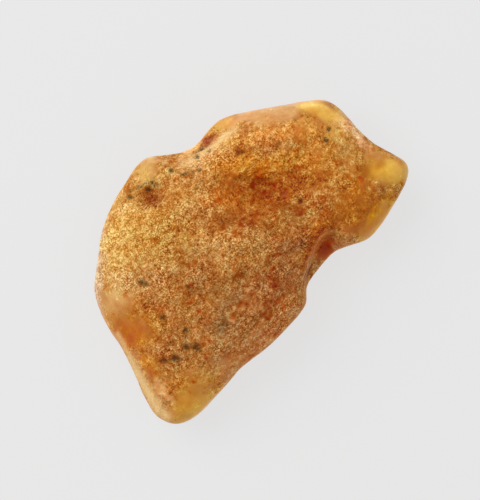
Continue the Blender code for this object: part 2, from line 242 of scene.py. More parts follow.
# The larger light, dark, red and golden places, and the worn windows.
PATCHES = (
    Patch("golden flank", -9.8, 9.3, 7.8, 4.0, 35, 1.2, light=0.16, red=-0.06, gold=0.02, crust=0.1),
    Patch("pale left rim", -15.1, 7.7, 6.3, 0.8, 43, light=0.08, red=-0.05, gold=-0.12),
    Patch(
        "middle of the flank", -6.0, 4.7, 4.3, 3.5, 35, 1.2,
        light=0.015, red=-0.035, gold=0.02, crust=0.05,
    ),
    Patch(
        "yellow foot of the flank", -10.2, 3.2, 7.0, 2.1, -30, 1.2,
        light=0.04, red=-0.015, gold=-0.03,
    ),
    Patch(
        "crest of the ridge", 0.2, -1.7, 6.3, 1.5, -45, 1.2,
        light=0.08, red=-0.03, gold=-0.01, crust=0.15,
    ),
    # The great hollow is darkened partly by painted shade, over its deeper orange.
    Patch("great hollow", 6.6, -0.1, 6.1, 3.3, -53, light=-0.06, red=0.065, gold=0.08, crust=-0.32),
    Patch("red floor of the hollow", 7.6, -1.8, 3.0, 1.3, -60, light=-0.04, red=-0.02, gold=-0.03),
    # The far wall's extra lightness is painted light against the lamp's shade there, with some real gold.
    Patch("far wall of the hollow", 9.2, 2.9, 5.3, 1.5, -40, light=0.1, red=0.05, gold=0.15, crust=0.05),
    Patch("toe end of the hollow", 2.9, 3.6, 1.8, 2.5, 45, light=0.075, red=0.03, gold=0.05),
    Patch("near bank of the hollow", 3.1, -1.4, 4.3, 1.0, -50, light=-0.06, red=0.02),
    Patch("toe end of the near bank", 0.7, 0.5, 1.4, 1.0, -45, light=-0.04),
    Patch("blunt end of the near bank", 4.8, -3.6, 1.4, 1.0, -45, light=-0.045),
    Patch("foot of the ridge", -2.8, -0.5, 3.4, 1.6, -85, light=0.07, red=-0.02),
    Patch("low end of the hollow", 12.1, -2.4, 2.5, 1.9, -45, light=-0.08, red=0.03, gold=0.04),
    Patch("far end of the hollow", 13.6, -0.6, 1.5, 1.1, -45, light=-0.05),
    Patch("rim of the hollow", 0.0, 6.2, 2.3, 1.8, -45, light=0.085, red=-0.03),
    Patch(
        "blunt end of the ridge", 5.0, -6.8, 2.5, 1.1, -45,
        light=-0.1, red=0.03, gold=-0.02, crust=-0.1,
    ),
    Patch("brown slope", -5.6, -9.7, 7.8, 5.1, 5, light=0.01, red=-0.005, gold=-0.03, crust=-0.1),
    Patch("top of the slope", 0.1, -8.9, 3.5, 2.8, 5, light=-0.04, red=0.02, gold=-0.01),
    Patch("dark streak of the slope", -1.7, -6.2, 2.5, 1.6, -45, light=-0.06),
    Patch("tan bank of the hollow", 7.5, -4.2, 2.1, 1.5, -25, light=0.05, red=-0.07, gold=-0.06),
    Patch("dull middle of the slope", -5.7, -6.1, 2.1, 1.8, -45, red=-0.05, gold=-0.05),
    Patch("lower edge of the slope", -5.9, -12.6, 7.3, 1.4, 0, light=0.05, red=0.03, gold=0.03),
    Patch("blunt shoulder", 15.5, -2.5, 4.8, 3.3, -65, light=0.07, red=-0.005, gold=0.04, crust=-0.32),
    Patch("blunt arm", 14.1, -9.2, 3.4, 3.0, 15, light=-0.02, red=0.05, gold=0.1, crust=-0.5),
    Patch("foot of the arm", 11.3, -10.1, 1.8, 0.9, -75, light=-0.04, red=0.04, gold=0.01, crust=-0.4),
    Patch(
        "inside the blunt tip", 18.4, -7.7, 1.6, 1.4, -45,
        light=-0.05, red=0.02, gold=0.05, crust=-0.5,
    ),
    Patch("blunt tip", 20.6, -9.6, 2.4, 1.8, -55, 2, light=0.2, red=-0.04, gold=0.11, crust=-1),
    Patch("edge by the blunt tip", 18.1, -11.6, 1.5, 0.9, 15, light=0.05, gold=0.045),
    Patch(
        "peach side of the blunt tip", 20.2, -7.2, 2.1, 1.6, -83, 2.5,
        light=0.06, gold=0.05, crust=-1,
    ),
    Patch(
        "edge below the blunt tip", 14.6, -12.3, 3.2, 1.4, 17, 2,
        light=0.1, red=0.015, gold=0.2, crust=-0.8,
    ),
    Patch("yellow corner", 19.7, 2.1, 3.2, 1.5, -57, 2.5, light=0.19, red=-0.03, gold=0.12, crust=-1),
    Patch(
        "pale edge under the yellow corner", 17.2, 1.8, 3.7, 1.0, -67,
        light=0.03, red=-0.015, crust=-0.15,
    ),
    Patch("edge beyond the yellow corner", 20.2, -1.7, 2.7, 1.1, 85, light=0.16, gold=-0.03, crust=-0.1),
    Patch(
        "peach edge before the blunt tip", 20.5, -4.4, 2.0, 0.9, -81,
        light=0.17, red=-0.03, gold=-0.05, crust=-0.15,
    ),
    Patch("pale crust below the yellow corner", 18.7, -3.5, 2.3, 1.6, -85, light=0.05, red=-0.025),
    Patch(
        "under the yellow corner", 18.9, -0.8, 1.8, 1.3, -45,
        light=0.13, red=-0.01, gold=0.06, crust=-0.2,
    ),
    Patch("long facet", 14.7, 6.7, 6.8, 1.4, -34, 2.5, light=0.17, red=-0.03, gold=-0.02, crust=-0.8),
    Patch(
        "below the long facet", 13.6, 4.1, 5.6, 1.3, -35,
        light=0.09, red=0.035, gold=0.07, crust=-0.25,
    ),
    Patch("peach start of the long facet", 12.1, 8.4, 1.5, 1.0, -55, light=0.05, crust=-0.1),
    # Painted glow where light passes through the saddle's thin lip.
    Patch("bright lip of the saddle", 5.4, 10.4, 2.8, 0.6, -7, 2, light=0.24, red=-0.04, crust=-0.3),
    Patch("saddle end of the facet", 8.7, 8.2, 1.5, 1.5, -45, light=0.14, red=-0.05),
    Patch("yellow facet", 9.6, 9.8, 1.5, 0.8, -10, 2, light=0.08, red=-0.01, gold=0.05, crust=-0.3),
    Patch(
        "brown corner of the saddle", 7.0, 9.3, 1.1, 0.6, -15, 2,
        light=-0.18, red=0.045, gold=-0.09, crust=-0.1,
    ),
    Patch(
        "pale crust of the saddle", 4.8, 8.7, 3.4, 1.4, -13,
        light=0.14, red=-0.03, gold=-0.01, crust=0.2,
    ),
    Patch("knob", -1.2, 12.9, 2.1, 1.5, 0, 2, light=0.085, red=-0.03, crust=-0.85),
    Patch("pale edge beside the knob", 0.4, 12.6, 1.5, 0.5, -45, light=0.11, red=-0.03, gold=-0.02),
    Patch("behind the knob", -0.9, 10.7, 3.2, 1.0, -30, light=0.12, red=-0.05),
    Patch("pale band over the flank", 4.2, 6.5, 4.3, 0.9, -37, light=0.035, red=-0.01),
    Patch("flank pit", -4.0, 9.3, 1.6, 1.1, -45, light=-0.19, red=0.03, gold=-0.03),
    Patch("peach window", -15.7, 3.6, 1.8, 1.9, 45, light=0.07, red=-0.03, gold=-0.04, crust=-0.75),
    Patch(
        "worn side of the toe", -16.6, 1.4, 4.4, 2.1, 73,
        light=0.02, red=0.02, gold=0.04, crust=-0.85,
    ),
    Patch("orange window", -17.2, -0.6, 1.6, 2.1, 70, light=-0.04, red=0.05, gold=0.09),
    Patch(
        "behind the orange window", -14.7, -1.8, 2.3, 2.5, 45,
        light=-0.01, red=0.02, gold=0.05, crust=-0.35,
    ),
    Patch("red window", -18.3, -5.1, 2.0, 1.1, 77, 2, light=-0.01, red=0.05, gold=0.1, crust=-0.45),
    Patch("toe window", -18.1, -12.2, 3.5, 2.3, -7, light=0.13, gold=0.15, crust=-1),
    Patch(
        "slope above the toe", -15.9, -9.3, 3.4, 1.6, -25,
        light=0.09, red=0.01, gold=0.05, crust=-0.3,
    ),
    Patch(
        "peach ledge of the toe", -19.5, -8.5, 1.9, 0.6, 73, 2,
        light=0.12, red=-0.01, gold=-0.03, crust=-0.6,
    ),
    Patch("notch", 7.7, -10.2, 1.5, 1.0, 13, light=-0.08, red=0.16, gold=0.07, crust=-1),
    # The slit of the notch is painted shadow under the notch's lip.
    Patch("slit of the notch", 3.7, -10.8, 0.9, 0.3, 25, light=-0.28, red=0.03),
    Patch("red bank of the notch", 7.4, -8.5, 3.3, 1.4, 17, light=-0.07, red=0.09, gold=0.12),
    Patch(
        "low end of the slope", -12.5, -12.0, 2.5, 1.5, -5,
        light=0.03, red=0.02, gold=0.02, crust=-0.45,
    ),
    Patch("dull patch of the slope", -8.4, -7.7, 1.4, 1.3, -45, light=-0.05, red=-0.08, gold=-0.07),
)

# Frosted cream crust on the bevel of the toe and on the edge of the saddle's ledge.
FROSTS = (
    Streak(((-18.3, 0.7), (-18.6, -0.6), (-19.1, -1.9)), 0.28, 0.6),
    Streak(
        ((-19.5, -2.6), (-20.3, -4.3), (-20.8, -6.0), (-21.2, -8.0), (-21.6, -9.9), (-21.7, -11.2)),
        0.8,
        0.95,
    ),
    Streak(((9.8, 8.4), (7.9, 8.5), (5.7, 8.7), (3.9, 9.1), (2.5, 9.8)), 0.55, 0.7),
)

# Fine dark cracks, which crumbs break up into strings of grains. The one under the notch's lip is painted
# shadow.
CRACKS_AND_SHADOW = (
    Streak(((3.9, 9.4), (5.2, 9.4), (6.1, 8.7)), 0.2375, 0.65),
    Streak(((0.7, 10.1), (1.5, 8.8), (2.8, 8.2), (3.7, 7.5)), 0.2, 0.5),
    Streak(((-4.6, 12.2), (-3.3, 11.8), (-2.2, 11.3), (-1.5, 10.1)), 0.2375, 0.58),
    Streak(((8.7, 6.7), (8.7, 6.0), (8.0, 5.7)), 0.2, 0.43),
    # Painted shadow under the notch's lip, drawn like a crack.
    Streak(((4.2, -10.3), (3.7, -10.7), (3.0, -11.3)), 0.15, 1),
    Streak(((9.6, -3.3), (9.6, -4.4)), 0.2, 0.5),
    Streak(((-16.4, -6.2), (-15.4, -6.7)), 0.2375, 0.5),
    Streak(((-13.2, -6.9), (-12.2, -7.6)), 0.3125, 0.58),
)

# Dark mineral grains caught in the crust: middle and size, in millimetres.
GRAINS: tuple[Spot, ...] = (
    (-3.1, 10.7, 0.33),
    (-3.4, 11.7, 0.23),
    (5.4, 9.3, 0.35),
    (5.7, 8.5, 0.25),
    (4.1, 9.2, 0.25),
    (8.2, 5.9, 0.24),
    (3.3, 7.7, 0.23),
    (0.8, 10.1, 0.23),
    (1.6, 8.7, 0.23),
    (-1.9, 10.6, 0.23),
    (9.6, -3.8, 0.22),
    (18.3, 0.0, 0.28),
    (17.2, -0.7, 0.33),
    (-11.5, 3.1, 0.35),
    (-11.3, 2.5, 0.25),
    (-12.8, -2.1, 0.30),
    (-11.8, -5.1, 0.33),
    (-13.2, -6.7, 0.33),
    (-12.4, -7.4, 0.43),
    (-12.4, -7.9, 0.25),
    (-15.2, -6.7, 0.40),
    (-16.6, -5.9, 0.33),
    (-5.2, 11.6, 0.25),
    (-7.9, -1.5, 0.20),
    (-1.9, 11.1, 0.25),
    (4.5, 9.4, 0.22),
    (8.7, 5.5, 0.20),
)

# Spots where the crust is rubbed through to redder amber: middle and size, in millimetres.
RUBBED: tuple[Spot, ...] = (
    (-5.3, 0.0, 0.31),
    (-7.3, -1.5, 0.24),
    (-9.3, -2.6, 0.31),
    (-5.6, 5.2, 0.24),
    (0.9, 8.7, 0.24),
    (-8.4, 5.8, 0.31),
    (-6.9, 5.2, 0.31),
    (-2.4, 1.8, 0.31),
    (-2.4, -4.6, 0.47),
    (1.6, -1.1, 0.47),
    (0.6, 0.4, 0.39),
    (2.9, 3.3, 0.47),
    (8.5, 0.0, 0.39),
    (8.0, 2.1, 0.39),
    (12.1, -0.9, 0.31),
    (6.4, 1.6, 0.39),
    (6.8, -0.9, 0.47),
    (3.2, 3.2, 0.31),
    (11.8, -5.6, 0.39),
    (8.7, -4.3, 0.39),
    (10.0, -5.2, 0.39),
    (21.2, -6.2, 0.24),
    (20.6, -5.3, 0.24),
    (15.7, -5.8, 0.39),
    (16.8, -7.4, 0.31),
    (-5.0, -7.7, 0.47),
    (-8.8, -4.3, 0.31),
    (-8.8, -11.9, 0.39),
    (2.7, -6.1, 0.31),
    (1.1, -7.0, 0.31),
    (0.0, -8.6, 0.47),
    (-3.0, -7.7, 0.31),
    (-0.8, -11.0, 0.39),
    (-1.4, -11.5, 0.31),
    (-3.5, -11.0, 0.47),
    (-6.5, -8.5, 0.31),
    (-4.2, -13.2, 0.31),
    (-7.4, -11.6, 0.31),
    (-13.2, -6.0, 0.31),
    (-2.0, -1.5, 0.24),
)


def spots(rows: Sequence[Spot], spread: float) -> list[Patch]:
    """Makes soft round spots.

    Args:
        rows: Middle and size of each, in millimetres.
        spread: Half width of a spot, in sizes.

    Returns:
        The spots.
    """
    return [Patch("spot", x, y, spread * size, spread * size, hard=1.0) for x, y, size in rows]


def strongest(
    drawn: Sequence[Patch | Streak], places: np.ndarray, facing: np.ndarray
) -> np.ndarray:
    """Finds how strongly the strongest of several patches or streaks marks each point.

    Args:
        drawn: The patches or streaks.
        places: Points of the skin, in millimetres.
        facing: How far each point faces up.

    Returns:
        A share from 0 to 1 for each point.
    """
    return np.max([one.over(places, facing) for one in drawn], axis=0)


class Wiring:
    """Adds nodes to a node tree and joins them."""

    def __init__(self, tree: bpy.types.NodeTree) -> None:
        """Keeps the tree that the nodes go into."""
        self.tree = tree

    def add(
        self, kind: str, settings: dict[str, object] | None = None, **inputs: Value
    ) -> bpy.types.Node:
        """Adds one node.

        Args:
            kind: The node's Blender type.
            settings: Its properties, by name.
            **inputs: Its inputs, by name in lower case with _ for spaces.

        Returns:
            The node.
        """
        node = self.tree.nodes.new(kind)
        for name, value in (settings or {}).items():
            setattr(node, name, value)
        for name, value in inputs.items():
            wanted = name.replace("_", " ")
            found = [s for s in node.inputs if s.enabled and s.name.lower() == wanted]
            self.put(found[0], value)
        return node

    def put(self, socket: Socket, value: Value) -> None:
        """Joins another socket to this one, or sets its value.

        Args:
            socket: The input.
            value: The other socket, or the value.
        """
        if isinstance(value, Socket):
            self.tree.links.new(value, socket)
        elif socket.type == "RGBA":
            socket.default_value = (*value, 1.0)
        else:
            socket.default_value = value

    def math(self, operation: str, a: Value, b: Value = 0.0, c: Value = 0.0) -> Socket:
        """Adds a Math node.

        Args:
            operation: The node's operation.
            a: First value.
            b: Second value.
            c: Third value, for the operations that have one.

        Returns:
            Its result.
        """
        node = self.add("ShaderNodeMath", {"operation": operation})
        for socket, value in zip(node.inputs, (a, b, c)):
            self.put(socket, value)
        return node.outputs[0]

    def total(self, first: Socket, *others: tuple[Socket, float]) -> Socket:
        """Adds values up, each by its weight, and leaves out those of no weight.

        Args:
            first: The value to start from.
            *others: Each further value and its weight.

        Returns:
            The sum.
        """
        for value, weight in others:
            if weight:
                first = self.math("MULTIPLY_ADD", value, weight, first)
        return first

    def graded(
        self, value: Value, low: Value, high: Value, first: Value = 0.0, last: Value = 1.0
    ) -> Socket:
        """Maps a value from low..high to first..last, with a smooth start and end.

        Args:
            value: What is graded.
            low: The value that gives first.
            high: The value that gives last.
            first: Result at low.
            last: Result at high.

        Returns:
            The result.
        """
        node = self.add("ShaderNodeMapRange", {"interpolation_type": "SMOOTHSTEP"}, value=value)
        limits = {"From Min": low, "From Max": high, "To Min": first, "To Max": last}
        for name, limit in limits.items():
            self.put(node.inputs[name], limit)
        return node.outputs[0]

    def mixed(self, share: Value, first: Value, second: Value) -> Socket:
        """Mixes two colours.

        Args:
            share: How much of the second.
            first: First colour.
            second: Second colour.

        Returns:
            The mixed colour.
        """
        node = self.add("ShaderNodeMix", {"data_type": "RGBA"})
        for index, value in ((0, share), (6, first), (7, second)):
            self.put(node.inputs[index], value)
        return node.outputs[2]

    def scaled(self, vector: Value, scale: Value) -> Socket:
        """Makes a vector longer or shorter.

        Args:
            vector: The vector.
            scale: How many times as long it gets.

        Returns:
            The new vector.
        """
        node = self.add("ShaderNodeVectorMath", {"operation": "SCALE"}, vector=vector, scale=scale)
        return node.outputs[0]

    def clouds(self, place: Value, size: float) -> list[Socket]:
        """Adds three unlike clouds of one size.

        Args:
            place: Where they are read, in millimetres.
            size: Width of a cloud, in millimetres.

        Returns:
            Three values round 0.
        """
        cloudy = self.add("ShaderNodeTexNoise", vector=place, scale=1 / size, detail=1.0)
        split = self.add("ShaderNodeSeparateColor", color=cloudy.outputs["Color"])
        return [self.math("SUBTRACT", channel, MIDDLE) for channel in split.outputs]


@dataclass(frozen=True)
class CrustGrain:
    """The grain of weathered crust: crisp flecks, and thin bright threads between them.

    Attributes:
        flecks: Values of the noise at which a fleck is darkest and lightest.
        crisp: How much lighter or darker a fleck is.
        soft: How much of the noise itself is seen.
        rough: How strong the flecks' finer noise is.
        octaves: Octaves of the flecks' finer noise.
        finer: How much finer the threads' noise is than the flecks'.
        thread_rough: How strong the threads' finer noise is.
        thread: Half width of a thread, in values of its noise.
        threaded: Share of the crust that the threads lighten, which keeps the whole round 0.
        bright: How much lighter a thread is.
    """

    flecks: Limits = (0.32, 0.68)
    crisp: float = 0.15
    soft: float = 0.5
    rough: float = 0.8
    octaves: float = 3.0
    finer: float = 0.9
    thread_rough: float = 0.6
    thread: float = 0.09
    threaded: float = 0.35
    bright: float = 0.07

    def group(self) -> bpy.types.ShaderNodeTree:
        """Builds the node group.

        Returns:
            A group from a place and a fleck's width, both in millimetres, to a lightness round 0
            and a height from 0 to 1.
        """
        tree = bpy.data.node_groups.new("crust grain", "ShaderNodeTree")
        tree.interface.new_socket("Place", in_out="INPUT", socket_type="NodeSocketVector")
        tree.interface.new_socket("Fleck", in_out="INPUT", socket_type="NodeSocketFloat")
        for name in ("Light", "Height"):
            tree.interface.new_socket(name, in_out="OUTPUT", socket_type="NodeSocketFloat")
        w = Wiring(tree)
        given = w.add("NodeGroupInput").outputs
        result = w.add("NodeGroupOutput").inputs
        scale = w.math("DIVIDE", 1.0, given["Fleck"])
        speck = w.add(
            "ShaderNodeTexNoise",
            vector=given["Place"],
            scale=scale,
            detail=self.octaves,
            roughness=self.rough,
        ).outputs[0]
        crisp = w.graded(speck, *self.flecks, -self.crisp, self.crisp)
        thread = w.add(
            "ShaderNodeTexNoise",
            vector=given["Place"],
            scale=w.math("MULTIPLY", scale, self.finer),
            detail=1.0,
            roughness=self.thread_rough,
        ).outputs[0]
        off = w.math("ABSOLUTE", w.math("SUBTRACT", thread, MIDDLE))
        line = w.math("SUBTRACT", 1.0, w.graded(off, 0.0, self.thread))
        light = w.total(
            crisp,
            (w.math("SUBTRACT", speck, MIDDLE), self.soft),
            (w.math("SUBTRACT", line, self.threaded), self.bright),
        )
        w.put(result["Light"], light)
        w.put(result["Height"], w.math("ADD", light, MIDDLE))
        return tree


@dataclass(frozen=True)
class AmberPigment:
    """How amber's colour is mixed from its lightness, redness and gold.

    Attributes:
        warm: Share of the redness that makes the red channel lighter.
        rich: Share of the gold that makes the red channel lighter.
        cool: How much darker than the red channel the redness makes the blue one.
        darkest: Least value of a channel.
        gamma: Power that turns the channels, as the eye sees them, into light.
    """

    warm: float = 0.645
    rich: float = 0.11
    cool: float = 0.5
    darkest: float = 0.03
    gamma: float = 2.2

    def group(self) -> bpy.types.ShaderNodeTree:
        """Builds the node group.

        Returns:
            A group from the three shares, as the eye sees them, to a colour.
        """
        tree = bpy.data.node_groups.new("amber pigment", "ShaderNodeTree")
        for name in ("Light", "Red", "Gold"):
            tree.interface.new_socket(name, in_out="INPUT", socket_type="NodeSocketFloat")
        tree.interface.new_socket("Colour", in_out="OUTPUT", socket_type="NodeSocketColor")
        w = Wiring(tree)
        given = w.add("NodeGroupInput").outputs
        result = w.add("NodeGroupOutput").inputs
        red = w.total(given["Light"], (given["Red"], self.warm), (given["Gold"], self.rich))
        green = w.math("SUBTRACT", red, given["Red"])
        blue = w.math("SUBTRACT", w.total(red, (given["Red"], -self.cool)), given["Gold"])
        channels = {"red": red, "green": green, "blue": blue}
        held = {name: w.math("MAXIMUM", value, self.darkest) for name, value in channels.items()}
        seen = w.add("ShaderNodeCombineColor", **held).outputs[0]
        w.put(result["Colour"], w.add("ShaderNodeGamma", color=seen, gamma=self.gamma).outputs[0])
        return tree


@dataclass(frozen=True)
class AmberFinish:
    """Cloudy amber under a fine granular crust, with satin windows.

    Lengths are in millimetres.

    Attributes:
        fleck: Width of the crust's flecks.
        cloud: Width of the clouds deep in the amber.
        drift: Width of the drifts in which the crust's grain is stronger.
        mottle: Width of the mottles, the blotches that fray the edges of windows most.
        bleb: Width of the blebs, which are the smallest blotches.
        crumb: Width of the crumbs that break up the mineral grains.
        frayed: How strongly mottles and blebs fray the crust.
        thick: Amounts of crust between which it frays less.
        whole: Share of the fraying that is left in thick crust.
        closed: Amounts of crust at which it starts, and at which it is closed.
        chance: Values of the mottles at which crust rubs off by itself.
        rubbing: How strongly that and the blebs rub the crust.
        rubbed_off: Amounts of rubbing at which crust starts to go, and at which it is gone.
        drifting: How much stronger the grain gets in a drift.
        rubbed_calm: How much weaker it gets where the crust is rubbed off.
        calmest: The weakest grain.
        coarse: How much lighter or darker blebs make the crust.
        mottling: How much lighter or darker mottles make bare amber, and crust.
        clouding: How much lighter or darker clouds make the amber.
        frost: Colour of the frosted crust.
        frost_grain: How much flecks break up the frost.
        frost_cover: How much of the amber the frost hides.
        stain: Colour of the mineral grains and cracks, and of the painted shadow under the notch's lip.
        stain_broken: How much crumbs break up a grain.
        stain_edge: Strengths at which a broken grain starts, and at which it is whole.
        stain_reach: Strengths between which a grain's rim fades out.
        stain_cover: How much of the amber a grain hides.
        rough: Roughness of windows, and of crust.
        coat: Weight of the coat on windows.
        coat_end: Amount of crust at which the coat ends.
        coat_rough: Roughness of the coat.
        ior: Index of refraction of amber.
        specular: Level of the surface's own gloss.
        scatter: Weight of the light that is scattered inside.
        scatter_radius: How far red, green and blue light spread, in scatter lengths.
        scatter_length: Length of the scatter.
        bump: Strength of the crust's bump.
        bump_height: Height of the crust's bump.
    """

    fleck: float = 0.22
    cloud: float = 6.0
    drift: float = 3.0
    mottle: float = 1.7
    bleb: float = 0.6
    crumb: float = 0.22
    frayed: tuple[float, float] = (1.4, 1.1)
    thick: Limits = (0.6, 1.0)
    whole: float = 0.4
    closed: Limits = (0.05, 0.6)
    chance: Limits = (0.1, 0.26)
    rubbing: tuple[float, float] = (0.5, 1.6)
    rubbed_off: Limits = (0.3, 0.75)
    drifting: float = 1.2
    rubbed_calm: float = 0.5
    calmest: float = 0.06
    coarse: float = 0.45
    mottling: tuple[float, float] = (0.14, 0.26)
    clouding: float = 0.1
    frost: Colour = srgb(243, 202, 137)
    frost_grain: float = 0.9
    frost_cover: float = 0.87
    stain: Colour = srgb(48, 36, 10)
    stain_broken: float = 3.0
    stain_edge: Limits = (0.35, 0.8)
    stain_reach: Limits = (0.05, 0.3)
    stain_cover: float = 0.8
    rough: tuple[float, float] = (0.4, 0.8)
    coat: float = 0.12
    coat_end: float = 0.4
    coat_rough: float = 0.3
    ior: float = 1.54
    specular: float = 0.15
    scatter: float = 0.3
    scatter_radius: tuple[float, float, float] = (1.0, 0.45, 0.15)
    scatter_length: float = 0.8
    bump: float = 0.3
    bump_height: float = 0.15

    def material(self) -> bpy.types.Material:
        """Builds the material.

        Returns:
            The material.
        """
        material = bpy.data.materials.new("cloudy amber")
        material.use_nodes = True
        w = Wiring(material.node_tree)
        shader = material.node_tree.nodes["Principled BSDF"]
        place = w.scaled(w.add("ShaderNodeTexCoord").outputs["Object"], 1 / MM)
        marks = {
            mark: w.add("ShaderNodeAttribute", {"attribute_name": mark.value}).outputs["Fac"]
            for mark in Mark
            if mark not in (Mark.SHARP, Mark.SWELL)
        }
        cloud, drift, mottle, bleb = (
            w.clouds(place, size) for size in (self.cloud, self.drift, self.mottle, self.bleb)
        )
        grain = w.add(
            "ShaderNodeGroup", {"node_tree": CrustGrain().group()}, place=place, fleck=self.fleck
        ).outputs
        patchy = w.total(w.math("MULTIPLY", bleb[2], self.frayed[1]), (mottle[2], self.frayed[0]))
        patchy = w.math("MULTIPLY", patchy, w.graded(marks[Mark.CRUST], *self.thick, 1.0, self.whole))
        ragged = w.math("ADD", marks[Mark.CRUST], patchy)
        crust = w.graded(ragged, *self.closed)
        rubbed = w.total(
            marks[Mark.RUBBED],
            (w.graded(mottle[1], *self.chance), self.rubbing[0]),
            (bleb[1], self.rubbing[1]),
        )
        rubbed = w.graded(rubbed, *self.rubbed_off)
        strength = w.math("MULTIPLY_ADD", drift[0], w.math("MULTIPLY", crust, self.drifting), ragged)
        strength = w.math("MAXIMUM", w.total(strength, (rubbed, -self.rubbed_calm)), self.calmest)
        blotch = w.math("MULTIPLY", mottle[0], w.graded(crust, 0.0, 1.0, *self.mottling))
        coarse = w.math("MULTIPLY", bleb[0], w.math("MULTIPLY", crust, self.coarse))
        depth = w.math("ADD", w.total(blotch, (cloud[0], self.clouding)), coarse)
        tints = (
            (depth, Tint(light=1.0, red=-0.4, gold=-0.25)),
            (w.math("MULTIPLY", grain["Light"], strength), Tint(light=1.0)),
            (cloud[1], Tint(red=0.06, gold=0.08)),
            (patchy, Tint(light=0.08, red=-0.07)),
            (drift[1], Tint(gold=0.06)),
            # Painted glow where light passes through thin amber.
            (marks[Mark.THIN], Tint(light=0.1)),
            (rubbed, Tint(light=-0.09, red=0.075, gold=0.05)),
        )
        shares = {
            mark.value: w.total(marks[mark], *((pattern, tint.adds(mark)) for pattern, tint in tints))
            for mark in (Mark.LIGHT, Mark.RED, Mark.GOLD)
        }
        pigment = w.add("ShaderNodeGroup", {"node_tree": AmberPigment().group()}, **shares)
        colour = self.frosted(w, pigment.outputs[0], marks[Mark.FROST], grain["Light"])
        colour = self.stained(w, colour, marks[Mark.STAIN], place)
        w.put(shader.inputs["Base Color"], colour)
        w.put(shader.inputs["Roughness"], w.graded(crust, 0.0, self.closed[1], *self.rough))
        w.put(shader.inputs["Coat Weight"], w.graded(crust, 0.0, self.coat_end, self.coat, 0.0))
        shader.inputs["Coat Roughness"].default_value = self.coat_rough
        shader.inputs["IOR"].default_value = self.ior
        shader.inputs["Specular IOR Level"].default_value = self.specular
        shader.inputs["Subsurface Weight"].default_value = self.scatter
        shader.inputs["Subsurface Radius"].default_value = self.scatter_radius
        shader.inputs["Subsurface Scale"].default_value = self.scatter_length * MM
        height = w.math("MULTIPLY", grain["Height"], strength)
        bump = w.add(
            "ShaderNodeBump", height=height, strength=self.bump, distance=self.bump_height * MM
        )
        w.put(shader.inputs["Normal"], bump.outputs[0])
        return material

    def frosted(self, w: Wiring, colour: Socket, frost: Socket, flecks: Socket) -> Socket:
        """Lays the frost over the amber, broken up by the crust's flecks.

        Args:
            w: The material's wiring.
            colour: The amber.
            frost: Where there is frost.
            flecks: The lightness of the flecks.

        Returns:
            The colour with the frost.
        """
        broken = w.math("MULTIPLY_ADD", flecks, self.frost_grain, self.frost_cover)
        cover = w.math("MULTIPLY", frost, w.math("MINIMUM", broken, 1.0))
        return w.mixed(w.math("MAXIMUM", cover, 0.0), colour, self.frost)

    def stained(self, w: Wiring, colour: Socket, stain: Socket, place: Socket) -> Socket:
        """Lays the mineral grains, the cracks and the painted shadow under the notch's lip over the
        amber, with broken edges.

        Args:
            w: The material's wiring.
            colour: The amber.
            stain: Where there are grains, cracks and the painted shadow under the notch's lip.
            place: Where the crumbs are read, in millimetres.

        Returns:
            The colour with the grains.
        """
        crumbs = w.add("ShaderNodeTexNoise", vector=place, scale=1 / self.crumb, detail=1.0).outputs[0]
        broken = w.total(stain, (w.math("SUBTRACT", crumbs, MIDDLE), self.stain_broken))
        cover = w.math(
            "MULTIPLY", w.graded(broken, *self.stain_edge), w.graded(stain, *self.stain_reach)
        )
        return w.mixed(w.math("MULTIPLY", cover, self.stain_cover), colour, self.stain)


